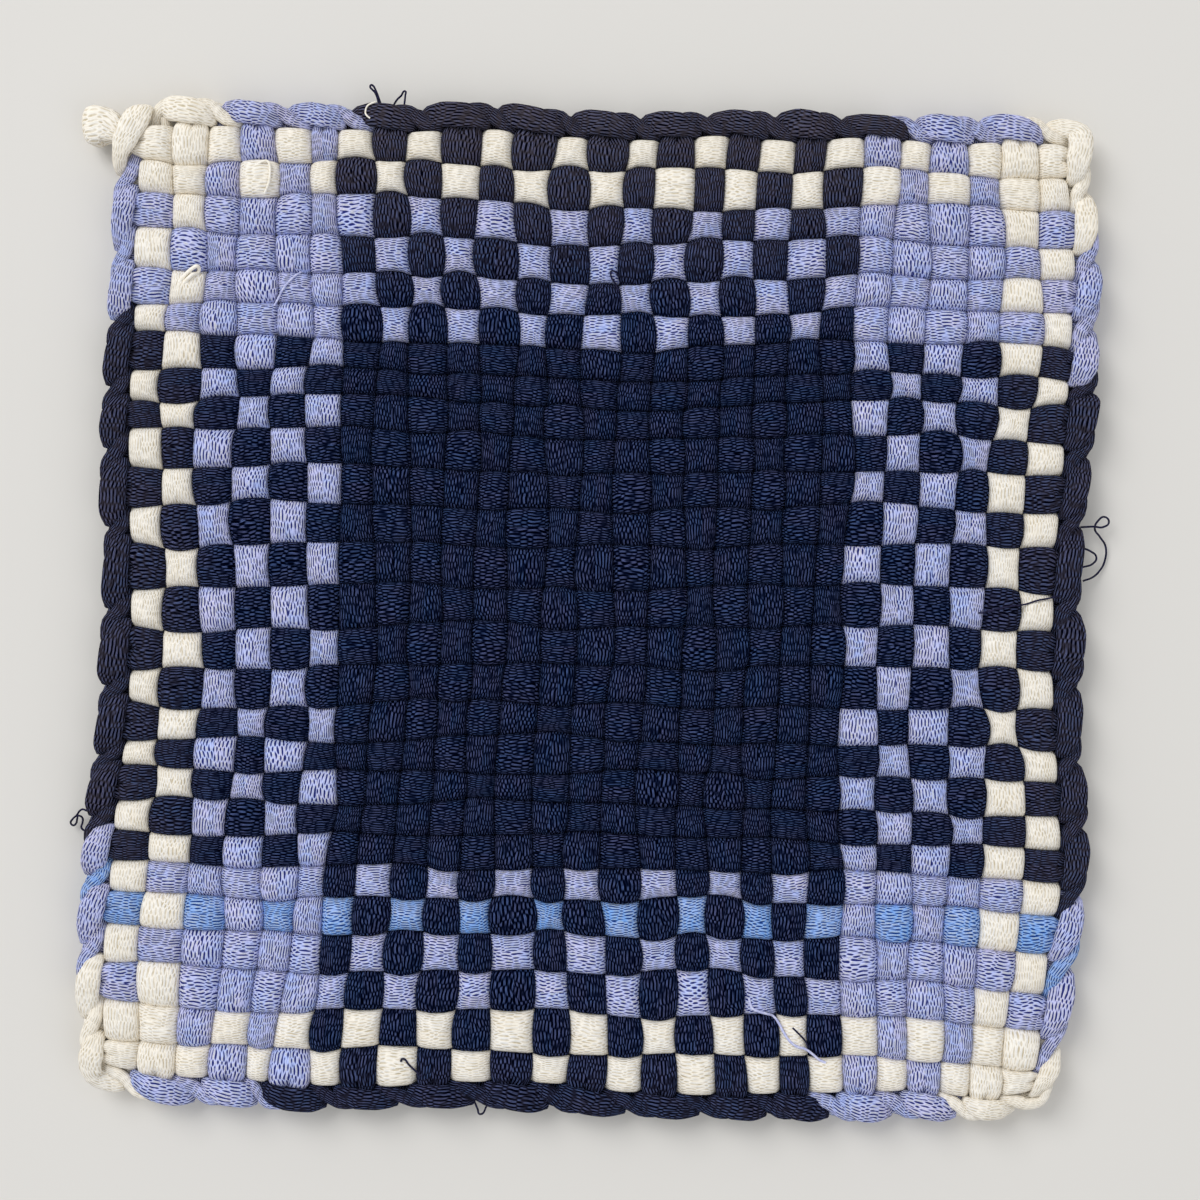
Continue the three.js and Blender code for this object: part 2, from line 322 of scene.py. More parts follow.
def strand_sections(wave, side, groove, swell, edges):
    """Outlines of one strand, as (across, up), for each height of its wave. Side is -1 for the strand that
    leads to the front legs of its links and 1 for the other."""
    t = np.linspace(0, 1, OUTLINE_POINTS)[None, :]
    edge = edges[1] if side > 0 else -edges[0]
    inner = (groove + side * WALL_GAP)[:, None]
    across = inner + (edge - inner) * t
    share = np.clip(np.abs(across) / abs(edge), 0, 1)
    nested = CRIMP * np.cos(np.pi / 2 * share) ** CRIMP_POWER
    pillow = PILLOW * swell[:, None] * (1 - share**PILLOW_POWER) ** 0.5
    top_share = smooth(wave / TURN_HEIGHT)[:, None]
    low_share = smooth(-wave / TURN_HEIGHT)[:, None]
    from_wall = np.clip(np.abs(across - inner) / GROOVE_RADIUS, 0, 1)
    rounding = GROOVE_WALL + (1 - GROOVE_WALL) * np.sqrt(1 - (1 - from_wall) ** 2)
    top = rounding * (top_share * pillow + (1 - top_share) * nested)
    low = -rounding * (low_share * pillow + (1 - low_share) * nested)
    top = even_steps(np.stack([across, top], axis=-1), SIDE_STEPS)
    low = even_steps(np.stack([across, low], axis=-1), SIDE_STEPS)
    wall = even_steps(np.stack([low[:, 0], top[:, 0]], axis=1), WALL_STEPS)
    half = WALL_STEPS // 2
    if side < 0:
        return np.concatenate([wall[:, half:-1], top, low[:, -2::-1], wall[:, 1:half]], axis=1)
    return np.concatenate([low[:, ::-1], wall[:, 1:-1], top[:, :-1]], axis=1)


print("a band is", round(CRIMP + PILLOW, 2), "mm thick where it crosses another")

# %% [markdown]
# Outside the cloth each strand of the loop is a round leg. The front leg goes over the next neck, turns down
# behind it and comes back under it as the back leg. The next loop's end comes out through that ring, so
# every link holds the next. A leg over a neck that comes from its own face is lifted, spreads out and shows.
# The one after it is small and half covered.

# %% A link of the chain
NECK_LIFT = 0.8
ROOT_RISE = 0.62 * CRIMP
# Stations beside the cloth: to the leg's side, out of the cloth, rise on its face, width, thickness.
LEG_ROOT = [
    (1.2, 4.3, 0.0, 2.5, 2.5),
    (0.7, 5.7, 0.25, 2.6, 2.4),
]
# Stations of a leg: the neck it is measured from, along the chain, out of the cloth, rise, width, thickness.
SHOWN_LEG = [
    ("own", 0.7, 6.8, 1.1, 3.4, 2.4),
    ("both", 3.6, 6.25, 2.2, 5.0, 2.4),
    ("next", 0.0, 5.6, 2.55, 5.0, 2.3),
    ("next", 2.8, 4.9, 1.75, 3.8, 2.2),
]
COVERED_LEG = [
    ("own", 0.7, 6.8, 1.1, 2.7, 2.4),
    ("both", 3.6, 6.8, 1.6, 2.9, 2.4),
    ("next", 0.0, 4.8, 2.3, 2.9, 2.3),
    ("next", 2.8, 4.3, 1.75, 2.7, 2.2),
]
# The link that holds the hanging loop is slacker and wider than the others.
LOOSE_LEG = [
    ("own", 0.9, 7.0, 1.1, 2.8, 2.4),
    ("next", -3.6, 7.0, 1.9, 3.2, 2.4),
    ("next", 0.2, 5.8, 2.5, 5.0, 2.4),
    ("next", 4.2, 4.2, 1.9, 5.6, 2.4),
]
# A leg at a corner has three stations in the place of its second one.
CORNER_BEND = [("own", 3.4, 6.9, 1.7), ("both", 6.2, 6.2, 2.1), ("next", -2.6, 6.4, 2.4)]
# The turn of a link behind the next neck: along the chain, out of the cloth, width, thickness.
LINK_TURN = (4.2, 4.25, 2.8, 2.2)
LOOSE_TURN = (6.4, 3.8, 5.0, 2.4)


def turned(neck, a, o, z):
    """A point given along the chain, out of the cloth and up, in the cloth's own directions."""
    return neck["origin"] + a * neck["along"] + o * neck["out"] + z * UP


def cloth_edge(neck, face, side):
    """The station where a leg leaves the cloth, on its front (face 1) or back (face -1): a point, its upper
    side, its width and its thickness."""
    return (turned(neck, side * 1.5, 3.0, ROOT_RISE * neck["front"]), face * UP, 3.0, 3.0)


def leg_root(neck, face, side):
    """The stations of a leg from the cloth to the chain."""
    lift = NECK_LIFT * neck["front"]
    stations = [cloth_edge(neck, face, side)]
    for aside, out, rise, width, thickness in LEG_ROOT:
        place = turned(neck, side * aside, out, lift + rise * face)
        stations.append((place, face * UP, width, thickness))
    return stations


def link_half(n, face, side):
    """Stations from the cloth to the turn of link n, on one face."""
    own, following = NECKS[n], NECKS[n + 1]
    rows = SHOWN_LEG if face * following["front"] > 0 else COVERED_LEG
    at_corner = np.dot(own["along"], following["along"]) == 0
    if n == LAST - 1:
        rows = LOOSE_LEG
    elif at_corner:
        rows = rows[:1] + [(*bend, *rows[1][4:]) for bend in CORNER_BEND] + rows[2:]
    level = {"own": own["front"], "next": following["front"], "both": (own["front"] + following["front"]) / 2}
    stations = leg_root(own, face, side)
    for base, along, out, rise, width, thickness in rows:
        neck = following if base == "next" else own
        place = turned(neck, along, out, NECK_LIFT * level[base] + rise * face)
        stations.append((place, face * UP, width, thickness))
    return stations


def link_stations(n, side):
    """The whole end of a loop, from its front strand to its back strand."""
    following = NECKS[n + 1]
    along, out, width, thickness = LOOSE_TURN if n == LAST - 1 else LINK_TURN
    place = turned(following, along, out, NECK_LIFT * following["front"])
    tip = (place, following["along"], width, thickness)
    return link_half(n, 1, side) + [tip] + link_half(n, -1, -side)[::-1]


print("link", 0, "has", len(link_stations(0, -1)), "stations")

# %% [markdown]
# The last end has no link to hold, and is left standing out of the corner as the loop to hang the potholder
# by. It is pulled nearly shut, so it shows as a small soft knob: its front leg lies on its back leg.

# %% The hanging loop
# Its end: along the chain, out of the cloth, width, thickness.
HANGER_TIP = (3.2, 13.9, 7.4, 2.8)


def hanger_half(face, side):
    """Stations of one leg of the hanging loop."""
    own = NECKS[LAST]
    lift = NECK_LIFT * own["front"]
    return [
        cloth_edge(own, face, side),
        (turned(own, side * 1.1, 4.6, lift), face * UP, 2.6, 2.5),
        (turned(own, 1.2, 7.2, lift + 1.0 * face), face * UP, 4.0, 2.3),
        (turned(own, 3.0, 10.0, 1.7 * face), face * UP, 7.4, 3.0),
        (turned(own, 3.2, 12.4, 1.5 * face), face * UP, 8.2, 3.0),
    ]


def hanger_stations(side):
    """The last end of the chain, laid flat beside the corner."""
    own = NECKS[LAST]
    along, out, width, thickness = HANGER_TIP
    tip = (turned(own, along, out, 0.0), own["out"], width, thickness)
    return hanger_half(1, side) + [tip] + hanger_half(-1, -side)[::-1]


print("the hanging loop has", len(hanger_stations(1)), "stations")

# %% [markdown]
# One loop is one closed tube: along the cloth as the first strand, round the far link, back as the second
# strand, and round the near link. A bevelled curve keeps one section all the way, and here the section
# changes from half a band to a round leg, so the rings of the tube are laid down one by one and joined.

# %% Rings in the cloth
STEPS_PER_PITCH = 8
CLOTH_END = 1.8
GROOVE_WANDER = 0.45
GROOVE_LENGTH = 9.0
FULLNESS_RANGE = 0.10
STRAND_GAP = 0.02
OUTER_GAP = 0.5
# A loop that lies farther from the middle than this is one of the outermost.
OUTER_PLACE = HALF_SPAN - 0.1


def cloth_part(kind, loop, side):
    """Centres, first axes, second axes and sections of one strand in the cloth, in the order up or to the
    right."""
    neck = next(n for n in NECKS if n["kind"] == kind and n["loop"] == loop and n["end"])
    reach = HALF_SPAN + CLOTH_END
    count = int(round(2 * reach / PITCH * STEPS_PER_PITCH))
    s = np.linspace(-reach, reach, count + 1)
    first = 1 if over(kind, loop, 0) else -1
    wave = first * crimp((s + HALF_SPAN) / PITCH)
    row = np.full_like(s, 2 * loop + (kind == "weft") + 0.5)
    groove = GROOVE_WANDER * value_noise(s / GROOVE_LENGTH + LATTICE_MIDDLE, row, GROOVE)
    swell = 1 + FULLNESS_RANGE * value_noise(s / PITCH + LATTICE_MIDDLE, row, FULLNESS)
    lateral = np.dot(neck["origin"], neck["along"])
    gaps = [OUTER_GAP if place > OUTER_PLACE else STRAND_GAP for place in (-lateral, lateral)]
    sections = strand_sections(wave, side, groove, swell, [PITCH / 2 - gap for gap in gaps])
    middle = side * PITCH / 4
    sections[:, :, 0] -= middle
    base = neck["origin"] - HALF_SPAN * neck["out"]
    centres = base + np.outer(s, neck["out"]) + middle * neck["along"] + np.outer(CRIMP * wave, UP)
    first_axis = np.repeat(neck["along"][None, :], len(s), axis=0)
    second_axis = np.repeat(UP[None, :], len(s), axis=0)
    return centres, first_axis, second_axis, sections


def flipped(part):
    """The second strand, which runs the other way and has its upper side down."""
    centres, first, second, sections = (x[::-1] for x in part)
    return centres, first, -second, sections * np.array([1.0, -1.0])


print("a strand has", len(cloth_part("warp", 0, 1)[0]), "rings in the cloth")

# %% [markdown]
# Round an end of the loop the rings follow a smooth curve through the stations, and their outline turns from
# half a band into an oval and back.

# %% Rings of a whole loop
RING_STEP = 0.9
BAND_THICKNESS = 3.4
HALF_TURNED = 0.55
OVAL_SQUARENESS = 0.85


def catmull(p, t):
    """Points on a smooth curve through the middle two of four stations."""
    t = t[:, None]
    return 0.5 * (2 * p[1] + (p[2] - p[0]) * t + (2 * p[0] - 5 * p[1] + 4 * p[2] - p[3]) * t**2
                  + (3 * p[1] - p[0] - 3 * p[2] + p[3]) * t**3)


def unit(v):
    """Vectors of length 1."""
    return v / np.linalg.norm(v, axis=-1, keepdims=True)


def oval_sections(width, thickness):
    """Round outlines of those widths and thicknesses, a little squared."""
    angle = np.linspace(0, 2 * np.pi, 2 * POINTS_AROUND + 1)[None, :]
    c, s = np.cos(angle), np.sin(angle)
    x = width[:, None] / 2 * np.sign(c) * np.abs(c) ** OVAL_SQUARENESS
    z = thickness[:, None] / 2 * np.sign(s) * np.abs(s) ** OVAL_SQUARENESS
    return even_steps(np.stack([x, z], axis=-1), POINTS_AROUND)[:, :-1]


def bight_part(stations, before, after):
    """Centres, axes and sections round one end of a loop. Before and after are the strands that it joins."""
    points = [before[0][-2], before[0][-1]] + [r[0] for r in stations] + [after[0][0], after[0][1]]
    ups = [before[2][-1]] * 2 + [r[1] for r in stations] + [after[2][0]] * 2
    widths = [PITCH / 2] * 2 + [r[2] for r in stations] + [PITCH / 2] * 2
    thicks = [BAND_THICKNESS] * 2 + [r[3] for r in stations] + [BAND_THICKNESS] * 2
    shapes = [0.0] * 2 + [HALF_TURNED] + [1.0] * (len(stations) - 2) + [HALF_TURNED] + [0.0] * 2
    rows = np.array([[*p, *u, w, t, k] for p, u, w, t, k in zip(points, ups, widths, thicks, shapes)])
    made = []
    for i in range(1, len(rows) - 2):
        span = np.linalg.norm(rows[i + 1, :3] - rows[i, :3])
        steps = max(2, int(round(span / RING_STEP)))
        t = np.arange(1 if i == 1 else 0, steps) / steps
        curve = catmull(rows[i - 1 : i + 3], t)
        curve[:, 3:] = rows[i, 3:] + (rows[i + 1, 3:] - rows[i, 3:]) * smooth(t)[:, None]
        made.append(curve)
    line = np.concatenate(made)
    centres, up, width, thickness, shape = np.split(line, [3, 6, 7, 8], axis=1)
    whole = np.concatenate([before[0][-1:], centres, after[0][:1]])
    tangent = unit(whole[2:] - whole[:-2])
    up = unit(up)
    square = unit(up - tangent * np.sum(up * tangent, axis=1, keepdims=True))
    second = unit(up * (1 - shape) + square * shape)
    first = unit(np.cross(tangent, second))
    half = len(line) // 2
    band = np.concatenate([np.repeat(before[3][-1:], half, axis=0),
                           np.repeat(after[3][:1], len(line) - half, axis=0)])
    oval = oval_sections(width[:, 0], thickness[:, 0])
    sections = band * (1 - shape[:, :, None]) + oval * shape[:, :, None]
    return centres, first, second, sections


def loop_rings(kind, loop):
    """All rings of one loop, the length of its middle line up to each ring, and its creases. A crease has
    its first ring, the ring after its last, and the two points of a ring where the inner wall of the
    strand ends."""
    ends = {n["end"]: i for i, n in enumerate(NECKS) if n["kind"] == kind and n["loop"] == loop}
    going = cloth_part(kind, loop, -1)
    coming = flipped(cloth_part(kind, loop, 1))
    far = bight_part(link_stations(ends[True], -1), going, coming)
    near_rows = hanger_stations(1) if ends[False] == LAST else link_stations(ends[False], 1)
    near = bight_part(near_rows[::-1], coming, going)
    centres, first, second, sections = (np.concatenate(x) for x in zip(going, far, coming, near))
    rings = centres[:, None] + sections[:, :, :1] * first[:, None] + sections[:, :, 1:] * second[:, None]
    steps = np.linalg.norm(np.diff(np.concatenate([centres, centres[:1]]), axis=0), axis=1)
    back = len(going[0]) + len(far[0])
    creases = [(0, len(going[0]), (WALL_STEPS // 2, POINTS_AROUND - WALL_STEPS // 2)),
               (back, back + len(coming[0]), (SIDE_STEPS, SIDE_STEPS + WALL_STEPS))]
    return rings, np.concatenate([[0], np.cumsum(steps)]), creases


print("a loop has", len(loop_rings("warp", 13)[0]), "rings of", POINTS_AROUND, "points")

# %% [markdown]
# A colour is written as it looks on a screen, and one function turns it into the linear value that the shader
# works with. One more adds a node and links it.

# %% Colour and nodes


def colour(code):
    """A hex colour as linear red, green, blue and alpha."""
    parts = [int(code[i : i + 2], 16) / 255 for i in (1, 3, 5)]
    linear = [p / 12.92 if p <= 0.04045 else ((p + 0.055) / 1.055) ** 2.4 for p in parts]
    return (*linear, 1.0)


def add(tree, kind, settings, inputs, output=0):
    """Adds a node, sets it, feeds its inputs from values or from other nodes, and returns one output."""
    node = tree.nodes.new(kind)
    for name, value in settings.items():
        setattr(node, name, value)
    for name, value in inputs.items():
        if isinstance(value, bpy.types.NodeSocket):
            tree.links.new(value, node.inputs[name])
        else:
            node.inputs[name].default_value = value
    return None if output is None else node.outputs[output]


print("mid grey is", round(colour("#808080")[0], 3), "in linear light")

# %% [markdown]
# Jersey is knitted, not woven. Stretched along a strand it shows fine ribs, which part and meet round short
# slits that are staggered like bricks. The slits are darkened with painted shade, and the threads that stand
# up are lightened with a painted highlight. The mesh carries a map with the length along the strand in slit
# periods, and the way around it in ribs, so the pattern keeps its real size and bends with the strand. Two
# kinds of noise push the ribs about, and a third makes some slits deeper, and darker in painted shade, than
# others.

# %% The knit
RIBS_AROUND = 34
RIB_WIDTH = 0.36
SLIT_PERIOD = 3.05
RIB_WAVE = 0.25
WANDER_SIZE = 2.6
WANDER = (1.4, 1.8, 0.0)
FLOW_SIZE = 6.0
FLOW = (0.0, 3.6, 0.0)
UNEVEN_SIZE = 1.4
STREAK_SCALE = (1.2, 0.7, 0.0)
# Noise seldom leaves this range, so it is the range that is spread over another.
NOISE_RANGE = {"From Min": 0.3, "From Max": 0.7}
SLIT_OPENING = {"From Min": -0.4, "From Max": 0.6, "To Min": 0.1, "To Max": 1.0}
SLIT_DEPTHS = {"To Min": 0.6, "To Max": 1.8}
RIBS_MEETING = {"From Min": 0.1, "From Max": -0.85}
THREAD_RISES = {"To Min": 0.3, "To Max": 1.5}


def knit_ribs(tree, here, knit):
    """How near a place is to the top of a rib, and the stagger: from 1 in the middle of a slit to -1 where
    two ribs meet beside it."""
    wander = add(tree, "ShaderNodeTexNoise", {},
                 {"Vector": here, "Scale": 1000 / WANDER_SIZE, "Detail": 1.0}, 1)
    flow = add(tree, "ShaderNodeTexNoise", {},
               {"Vector": here, "Scale": 1000 / FLOW_SIZE, "Detail": 0.0}, 1)
    place = add(tree, "ShaderNodeVectorMath", {"operation": "MULTIPLY_ADD"}, {0: wander, 1: WANDER, 2: knit})
    place = add(tree, "ShaderNodeVectorMath", {"operation": "MULTIPLY_ADD"}, {0: flow, 1: FLOW, 2: place})
    turns = add(tree, "ShaderNodeVectorMath", {"operation": "MULTIPLY"},
                {0: place, 1: (2 * math.pi, math.pi, 0)})
    along = add(tree, "ShaderNodeSeparateXYZ", {}, {0: turns}, 0)
    around = add(tree, "ShaderNodeSeparateXYZ", {}, {0: turns}, 1)
    beat = add(tree, "ShaderNodeMath", {"operation": "COSINE"}, {0: along})
    sway = add(tree, "ShaderNodeMath", {"operation": "SINE"}, {0: around})
    sway = add(tree, "ShaderNodeMath", {"operation": "MULTIPLY"}, {0: sway, 1: beat})
    wavy = add(tree, "ShaderNodeMath", {"operation": "MULTIPLY_ADD"},
               {0: sway, 1: -RIB_WAVE * math.pi, 2: around})
    ridge = add(tree, "ShaderNodeMath", {"operation": "SINE"}, {0: wavy})
    ridge = add(tree, "ShaderNodeMath", {"operation": "ABSOLUTE"}, {0: ridge})
    stagger = add(tree, "ShaderNodeMath", {"operation": "COSINE"}, {0: around})
    stagger = add(tree, "ShaderNodeMath", {"operation": "MULTIPLY"}, {0: stagger, 1: beat})
    return ridge, stagger


def knit_slits(tree, here, ridge, stagger):
    """How deep a place is in a slit. The depth sets the slit's painted shade and its bump."""
    opening = add(tree, "ShaderNodeMapRange", {"interpolation_type": "SMOOTHSTEP"},
                  {"Value": stagger, **SLIT_OPENING})
    valley = add(tree, "ShaderNodeMath", {"operation": "SUBTRACT"}, {0: 1.0, 1: ridge})
    depth = add(tree, "ShaderNodeMath", {"operation": "MULTIPLY"}, {0: valley, 1: opening})
    uneven = add(tree, "ShaderNodeTexNoise", {},
                 {"Vector": here, "Scale": 1000 / UNEVEN_SIZE, "Detail": 1.0})
    uneven = add(tree, "ShaderNodeMapRange", {}, {"Value": uneven, **NOISE_RANGE, **SLIT_DEPTHS})
    return add(tree, "ShaderNodeMath", {"operation": "MULTIPLY"}, {0: depth, 1: uneven})


def knit_threads(tree, knit, ridge, stagger):
    """How much of a place is a thread that stands up. Some stand up more than others. This places the painted
    highlight and the bump, and gives such threads more of the greying at the edge.
    """
    meeting = add(tree, "ShaderNodeMapRange", {"interpolation_type": "SMOOTHSTEP"},
                  {"Value": stagger, **RIBS_MEETING})
    crest = add(tree, "ShaderNodeMath", {"operation": "MULTIPLY"}, {0: ridge, 1: meeting})
    streak = add(tree, "ShaderNodeVectorMath", {"operation": "MULTIPLY"}, {0: knit, 1: STREAK_SCALE})
    streak = add(tree, "ShaderNodeTexNoise", {}, {"Vector": streak, "Scale": 1.0, "Detail": 2.0})
    streak = add(tree, "ShaderNodeMapRange", {}, {"Value": streak, **NOISE_RANGE, **THREAD_RISES})
    return add(tree, "ShaderNodeMath", {"operation": "MULTIPLY"}, {0: crest, 1: streak})


print("ribs", RIB_WIDTH, "mm apart, slits every", SLIT_PERIOD, "mm")

# %% [markdown]
# Dyed cotton is matt. The dye took unevenly along each loop. The outer rows and the chain go dull and a
# little grey, partly from real wear where they have been handled most and partly as painted sheen and light
# thrown up from the pale floor. The top edge gets most, and there it is painted light falling on that edge.

# %% Knitted cotton
DYE_SIZE = 9.0
DYE_SCALE = (SLIT_PERIOD / DYE_SIZE, RIB_WIDTH / DYE_SIZE, 0.0)
# A narrower range of noise gives patches that are plain inside.
PATCH_RANGE = {"From Min": 0.35, "From Max": 0.65}
RIB_DEPTH = 0.2
COTTON_ROUGHNESS = 0.92
# Wear and painted sheen take this share of the ground, and more of a thread that stands up.
GROUND_WEAR_AND_SHEEN = 0.6
THREAD_WEAR_AND_SHEEN = 0.8
WEAR_AND_SHEEN_START = HALF_SPAN - 2.6 * PITCH
WEAR_AND_SHEEN_END = HALF_SPAN + 3.2 * PITCH
# The mark is measured from a place this far below the middle, so the top edge gets most; there it is painted
# light falling on that edge.
PAINTED_TOP_LIGHT_RISE = 14.0


def edge_wear_and_sheen(tree, here, share):
    """How much a place greys from use and painted sheen, from nothing inside to that share at the top edge.
    """
    from_middle = add(tree, "ShaderNodeVectorMath", {"operation": "ADD"},
                      {0: here, 1: (0.0, PAINTED_TOP_LIGHT_RISE / 1000, 0.0)})
    from_middle = add(tree, "ShaderNodeVectorMath", {"operation": "ABSOLUTE"}, {0: from_middle})
    across = add(tree, "ShaderNodeSeparateXYZ", {}, {0: from_middle}, 0)
    up = add(tree, "ShaderNodeSeparateXYZ", {}, {0: from_middle}, 1)
    farther = add(tree, "ShaderNodeMath", {"operation": "MAXIMUM"}, {0: across, 1: up})
    return add(tree, "ShaderNodeMapRange", {}, {
        "Value": farther, "From Min": WEAR_AND_SHEEN_START / 1000, "From Max": WEAR_AND_SHEEN_END / 1000, "To Max": share})


def knitted_cotton(name, yarn, patch, light, patch_light, slit, worn_and_sheen, slit_shade_share, wear_and_sheen, relief, gloss):
    """A matt knit. Yarn is its main colour, and light that of the threads that stand up, as a painted
    highlight.
    Patch and patch_light are the same two where the dye took differently. Slit is the colour of painted shade
    between the threads, and the edge goes towards a greyer colour, partly from use and partly as painted
    sheen."""
    material = bpy.data.materials.new(name)
    material.use_nodes = True
    tree = material.node_tree
    tree.nodes.clear()
    here = add(tree, "ShaderNodeTexCoord", {}, {}, "Object")
    knit = add(tree, "ShaderNodeUVMap", {"uv_map": "knit"}, {})
    ridge, stagger = knit_ribs(tree, here, knit)
    depth = knit_slits(tree, here, ridge, stagger)
    thread = knit_threads(tree, knit, ridge, stagger)
    dye = add(tree, "ShaderNodeVectorMath", {"operation": "MULTIPLY"}, {0: knit, 1: DYE_SCALE})
    dye = add(tree, "ShaderNodeTexNoise", {}, {"Vector": dye, "Scale": 1.0, "Detail": 3.0, "Roughness": 0.6})
    dye = add(tree, "ShaderNodeMapRange", {}, {"Value": dye, **PATCH_RANGE})
    ground = add(tree, "ShaderNodeMixRGB", {}, {0: dye, 1: colour(yarn), 2: colour(patch)})
    # Painted highlight: the threads that stand up go towards the light colour.
    crest = add(tree, "ShaderNodeMixRGB", {}, {0: dye, 1: colour(light), 2: colour(patch_light)})
    lit = add(tree, "ShaderNodeMixRGB", {}, {0: thread, 1: ground, 2: crest})
    # Partly real wear and partly painted sheen and light thrown up from the pale floor, greying the edges,
    # most at the top as painted light.
    wear_and_sheen_share = add(tree, "ShaderNodeMath", {"operation": "MULTIPLY_ADD"},
                 {0: thread, 1: THREAD_WEAR_AND_SHEEN, 2: GROUND_WEAR_AND_SHEEN})
    at_edge = edge_wear_and_sheen(tree, here, wear_and_sheen)
    wear_and_sheen_share = add(tree, "ShaderNodeMath", {"operation": "MULTIPLY"}, {0: wear_and_sheen_share, 1: at_edge})
    worn_and_sheened = add(tree, "ShaderNodeMixRGB", {}, {0: wear_and_sheen_share, 1: lit, 2: colour(worn_and_sheen)})
    # Painted shade: the slits go towards the dark slit colour.
    shade = add(tree, "ShaderNodeMath", {"operation": "MULTIPLY"}, {0: depth, 1: slit_shade_share})
    shaded = add(tree, "ShaderNodeMixRGB", {}, {0: shade, 1: worn_and_sheened, 2: colour(slit)})
    raised = add(tree, "ShaderNodeMath", {"operation": "SUBTRACT"}, {0: thread, 1: depth})
    bump = add(tree, "ShaderNodeBump", {},
               {"Height": raised, "Strength": relief, "Distance": RIB_DEPTH / 1000})
    surface = add(tree, "ShaderNodeBsdfPrincipled", {}, {
        "Base Color": shaded, "Roughness": COTTON_ROUGHNESS, "Specular IOR Level": gloss, "Normal": bump})
    add(tree, "ShaderNodeOutputMaterial", {}, {"Surface": surface}, None)
    return material


# In each cotton the light colours are painted highlights on the threads that stand up, and the slit colour is
# painted shade.
COTTONS = {
    # A warm undyed white, with a faint yellow painted shade between its ribs.
    "ivory_cotton": knitted_cotton(
        "ivory_cotton", yarn="#fdf8ee", patch="#fbf3e4", light="#ffffff", patch_light="#fffcf5",
        slit="#c0ae86", worn_and_sheen="#f9efda", slit_shade_share=0.5, wear_and_sheen=0.3, relief=0.5, gloss=0.05),
    # A grey violet blue whose dye runs from lilac to clear blue.
    "periwinkle_cotton": knitted_cotton(
        "periwinkle_cotton", yarn="#d0d1fa", patch="#b4c6ff", light="#ffffff", patch_light="#f2f7ff",
        slit="#262e76", worn_and_sheen="#c8bcc4", slit_shade_share=1.35, wear_and_sheen=0.3, relief=0.7, gloss=0.1),
    # Almost black, with a painted highlight on its raised threads, from violet to blue.
    "navy_cotton": knitted_cotton(
        "navy_cotton", yarn="#040a20", patch="#030b24", light="#6d75a8", patch_light="#5873ac",
        slit="#00020f", worn_and_sheen="#80736e", slit_shade_share=1.0, wear_and_sheen=0.36, relief=0.8, gloss=0.0),
    # A washed mid blue in pale and deep patches.
    "sky_blue_cotton": knitted_cotton(
        "sky_blue_cotton", yarn="#a6c4fc", patch="#7cb0f8", light="#eef7ff", patch_light="#cee8ff",
        slit="#143e8a", worn_and_sheen="#a6adb8", slit_shade_share=1.35, wear_and_sheen=0.2, relief=0.7, gloss=0.1),
}
print(", ".join(COTTONS))

# %% [markdown]
# Each loop of the frame is replaced by its knitted loop. The rings are joined by quads into one closed mesh,
# and the mesh gets the map that the knit follows.

# %% The loops


def creased_edges(mesh, creases):
    """True for each edge that runs along a crease."""
    ends = np.empty(2 * len(mesh.edges), dtype=np.int32)
    mesh.edges.foreach_get("vertices", ends)
    ring, point = np.divmod(ends.reshape(-1, 2), POINTS_AROUND)
    sharp = np.zeros(len(mesh.edges), dtype=bool)
    for first, end, corners in creases:
        inside = ((ring >= first) & (ring < end)).all(axis=1)
        for corner in corners:
            sharp |= inside & (point == corner).all(axis=1)
    return sharp


def make_loop(kind, loop):
    """One loop as a closed mesh with its knit map, standing for the CAD loop of the same number."""
    rings, reach, creases = loop_rings(kind, loop)
    count = len(rings)
    points = lie(rings).reshape(-1, 3) / 1000
    i, j = (x.ravel() for x in np.meshgrid(np.arange(count), np.arange(POINTS_AROUND), indexing="ij"))
    k, m = (i + 1) % count, (j + 1) % POINTS_AROUND
    quad = [(i, j), (k, j), (k, m), (i, m)]
    faces = np.stack([ring * POINTS_AROUND + point for ring, point in quad], axis=1)
    name = f"{kind}_loop_{loop + 1:02d}"
    mesh = bpy.data.meshes.new("knit_" + name)
    mesh.from_pydata(points.tolist(), [], faces.tolist())
    u = reach / reach[-1] * round(reach[-1] / SLIT_PERIOD)
    # Each loop has a stretch of the map to itself, so no two are dyed alike.
    number = loop + (LOOPS if kind == "weft" else 0)
    v = (np.arange(POINTS_AROUND + 1) / POINTS_AROUND + 2 * number) * RIBS_AROUND
    corners = np.stack([np.stack([u[i + a], v[j + b]], 1) for a, b in ((0, 0), (1, 0), (1, 1), (0, 1))], 1)
    layer = mesh.uv_layers.new(name="knit")
    layer.data.foreach_set("uv", corners.astype(np.float32).ravel())
    mesh.polygons.foreach_set("use_smooth", np.ones(len(faces), dtype=bool))
    mesh.edges.foreach_set("use_edge_sharp", creased_edges(mesh, creases))
    mesh.materials.append(COTTONS[cotton_of(kind, loop)])
    mesh.update()
    piece = bpy.data.objects.new("knit_" + name, mesh)
    bpy.context.scene.collection.objects.link(piece)
    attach(piece, "root")
    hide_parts(name)
    return piece


loops = [make_loop(kind, loop) for kind in ("warp", "weft") for loop in range(LOOPS)]
print(len(loops), "loops,", sum(2 * len(p.data.polygons) for p in loops), "triangles")

# %% [markdown]
# A few threads have worked loose at the edge and on the face. Each is a thin curve drawn with a round bevel,
# then turned into a mesh. A thread at the edge is given by its height above the floor, and its ends are
# hidden in the chain. A thread on the face is laid on the cloth, and is given by how far it is lifted off.
# A single yarn is spun, not knitted, so it is matt and only softly mottled.

